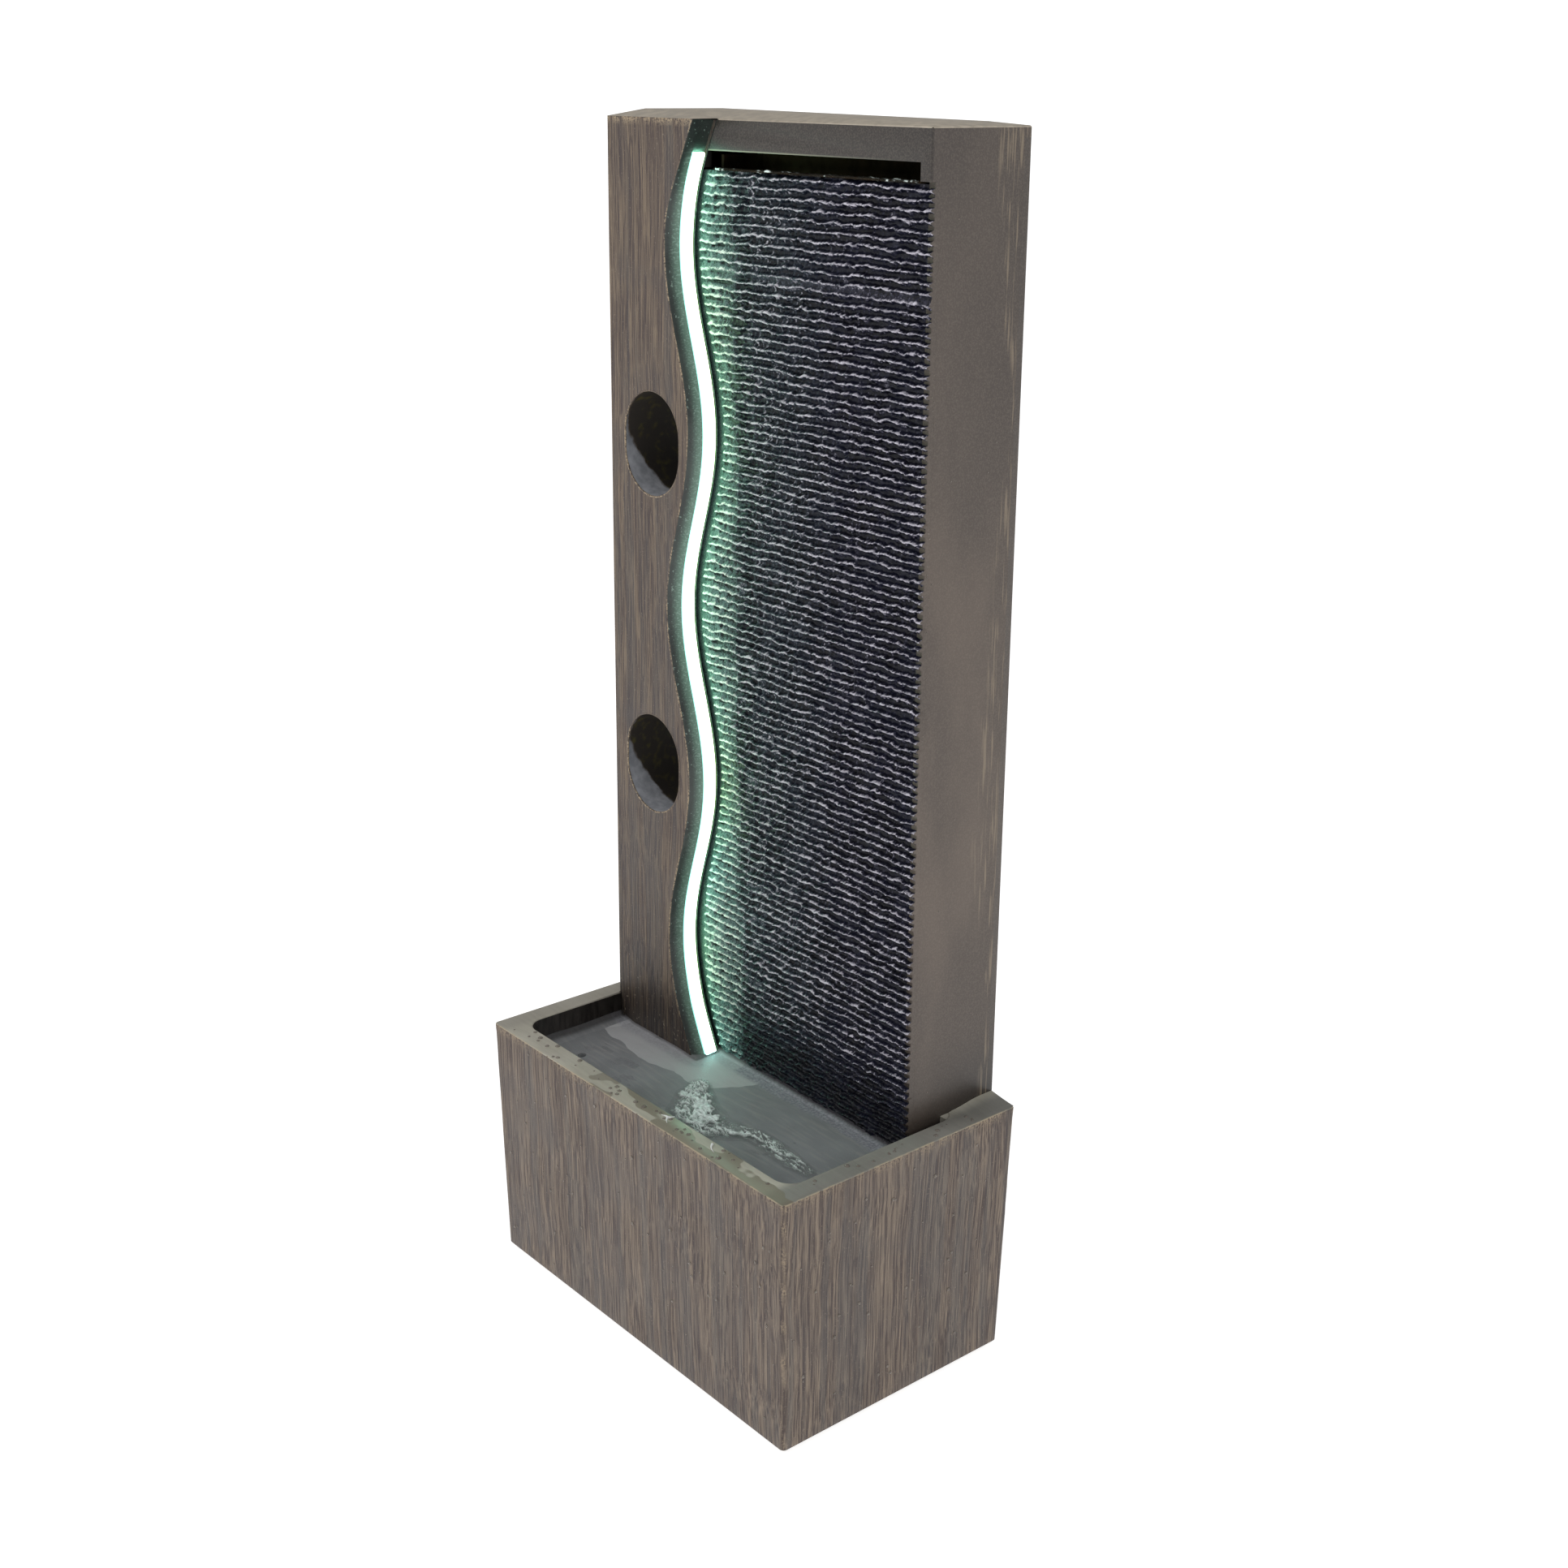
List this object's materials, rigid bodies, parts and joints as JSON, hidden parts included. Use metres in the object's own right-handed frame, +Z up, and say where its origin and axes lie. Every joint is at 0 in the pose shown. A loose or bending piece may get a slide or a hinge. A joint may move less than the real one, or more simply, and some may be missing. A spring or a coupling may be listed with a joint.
{
  "type": "garden fountain",
  "caption": "Tall garden water wall: a ribbed cascade beside a wavy slab with round windows and a light strip, standing in a catch basin with a pump behind a rear door.",
  "frame": {"origin": "middle of the basin's footprint, on the ground", "axes": "+Z up, +X to the right as the front is faced, -Y out of the front"},
  "size_m": [0.395, 0.245, 0.99],
  "materials": {
    "resin_body": "brush-grained painted stone-effect resin",
    "resin_tray": "smooth painted resin, wet",
    "resin_ribs": "rough near-black painted resin, wet",
    "dark_plastic": "moulded",
    "light_diffuser": "lit silicone",
    "diffuser_caps": "translucent silicone",
    "circuit_board": "solder-masked laminate",
    "light_chips": "phosphor-filled resin",
    "lead_jacket_white": "extruded",
    "lead_jacket_black": "extruded",
    "black_rubber": "moulded",
    "clear_hose": "smoky extruded hose",
    "steel": "plain stainless",
    "core_iron": "stamped sheet",
    "copper_winding": "enamelled wire",
    "ceramic_shaft": "ground",
    "rotor_plastic": "moulded",
    "sponge": "open-cell foam",
    "dial_plastic": "moulded"
  },
  "bodies": {
    "root": {"basin_shell": "resin_body", "tower_shell": "resin_body", "back_panel": "resin_body", "catch_tray": "resin_tray", "ribbed_wall": "resin_ribs", "spill_trough": "dark_plastic", "inlet_fitting": "dark_plastic", "inlet_nut": "dark_plastic", "window_sleeve_upper": "dark_plastic", "window_sleeve_lower": "dark_plastic", "junction_box": "dark_plastic", "junction_lid": "dark_plastic", "outlet_nozzle": "dark_plastic", "pump_housing": "dark_plastic", "motor_cap": "dark_plastic", "volute_cover": "dark_plastic", "strainer_cover": "dark_plastic", "led_diffuser": "light_diffuser", "led_end_caps": "diffuser_caps", "led_board": "circuit_board", "driver_board": "circuit_board", "led_chips": "light_chips", "led_lead": "lead_jacket_white", "pump_lead": "lead_jacket_black", "supply_grommet": "black_rubber", "tray_grommet": "black_rubber", "shaft_bushes": "black_rubber", "suction_cups": "black_rubber", "riser_hose": "clear_hose", "panel_screws": "steel", "hose_clamps": "steel", "door_hinge_pin": "steel", "stator_core": "core_iron", "catch_magnets": "core_iron", "stator_coils": "copper_winding", "impeller_shaft": "ceramic_shaft", "filter_sponge": "sponge"},
    "impeller": {"impeller": "rotor_plastic"},
    "flow_dial": {"flow_dial": "dial_plastic"},
    "access_door": {"access_door": "resin_body", "door_gasket": "black_rubber", "striker_discs": "steel"},
    "drain_plug": {"drain_plug": "black_rubber"}
  },
  "joints": [
    {"name": "impeller_spin", "type": "hinge", "parent": "root", "child": "impeller", "pos_m": [0.02, 0.0543, 0.038], "axis": [0, 1, 0], "continuous": true},
    {"name": "flow_dial_turn", "type": "hinge", "parent": "root", "child": "flow_dial", "pos_m": [0.006, 0.0733, 0.06], "axis": [0, 0, 1], "range_deg": [0, 90]},
    {"name": "door_swing", "type": "hinge", "parent": "root", "child": "access_door", "pos_m": [-0.076, 0.116, 0.135], "axis": [0, 0, 1], "range_deg": [0, 100]},
    {"name": "plug_pull", "type": "slide", "parent": "root", "child": "drain_plug", "axis": [0, 1, 0], "range_m": [0, 0.02]}
  ]
}
